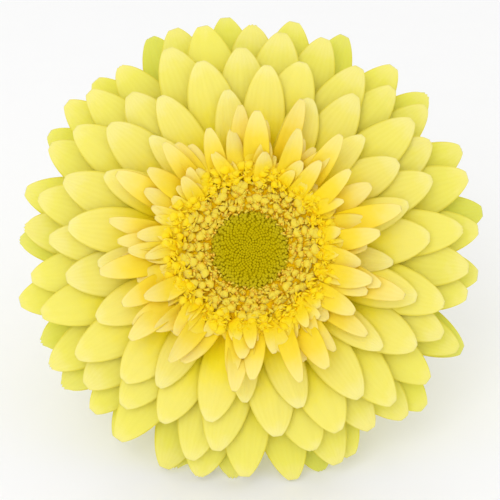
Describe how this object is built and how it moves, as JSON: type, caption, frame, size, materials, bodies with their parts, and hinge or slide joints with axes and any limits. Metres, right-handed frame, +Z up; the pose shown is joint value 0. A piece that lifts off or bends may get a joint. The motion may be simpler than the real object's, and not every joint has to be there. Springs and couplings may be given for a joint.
{
  "type": "cut gerbera",
  "caption": "Cut gerbera lying on a surface: a double, pale yellow flower head with a green-gold eye, tilted up on a bare green stem that curves down to the surface and runs back along it.",
  "frame": {"origin": "middle of the object's outline on the surface it lies on", "axes": "+Z up; the face of the flower looks towards -Y and up; the stem runs back along +Y; +X to the right as the face is seen"},
  "size_m": [0.11, 0.2704, 0.0953],
  "materials": {
    "ray_petal": "satin petal, finely grooved",
    "trans_floret": "satin petal, gold at the foot and cream at the tip",
    "disc_floret": "cream curled lobes over golden tubes",
    "bud": "smooth olive-gold buds",
    "bract": "downy green",
    "stem": "finely ribbed, downy, pale green"
  },
  "bodies": {
    "root": {"stem": "stem", "involucre_outer_bracts": "bract", "involucre_inner_bracts": "bract", "disc_buds": "bud", "disc_florets": "disc_floret", "trans_florets_inner": "trans_floret", "trans_florets_outer": "trans_floret", "ray_whorl_1": "ray_petal", "ray_whorl_2": "ray_petal", "ray_whorl_3": "ray_petal", "ray_floret_01": "ray_petal", "ray_floret_02": "ray_petal", "ray_floret_03": "ray_petal", "ray_floret_04": "ray_petal", "ray_floret_05": "ray_petal", "ray_floret_06": "ray_petal", "ray_floret_07": "ray_petal", "ray_floret_08": "ray_petal", "ray_floret_09": "ray_petal", "ray_floret_10": "ray_petal", "ray_floret_11": "ray_petal", "ray_floret_12": "ray_petal", "ray_floret_13": "ray_petal", "ray_floret_14": "ray_petal", "ray_floret_15": "ray_petal", "ray_floret_16": "ray_petal", "ray_floret_17": "ray_petal", "ray_floret_18": "ray_petal", "ray_floret_19": "ray_petal", "ray_floret_20": "ray_petal", "ray_floret_21": "ray_petal", "ray_floret_22": "ray_petal", "ray_floret_23": "ray_petal", "ray_floret_24": "ray_petal", "ray_floret_25": "ray_petal", "ray_floret_26": "ray_petal", "ray_floret_27": "ray_petal", "ray_floret_28": "ray_petal", "ray_floret_29": "ray_petal", "ray_floret_30": "ray_petal", "ray_floret_31": "ray_petal", "ray_floret_32": "ray_petal", "ray_floret_33": "ray_petal", "ray_floret_34": "ray_petal", "ray_floret_35": "ray_petal", "ray_floret_36": "ray_petal", "ray_floret_37": "ray_petal", "ray_floret_38": "ray_petal", "ray_floret_39": "ray_petal", "ray_floret_40": "ray_petal", "ray_floret_41": "ray_petal", "ray_floret_42": "ray_petal"}
  },
  "joints": []
}
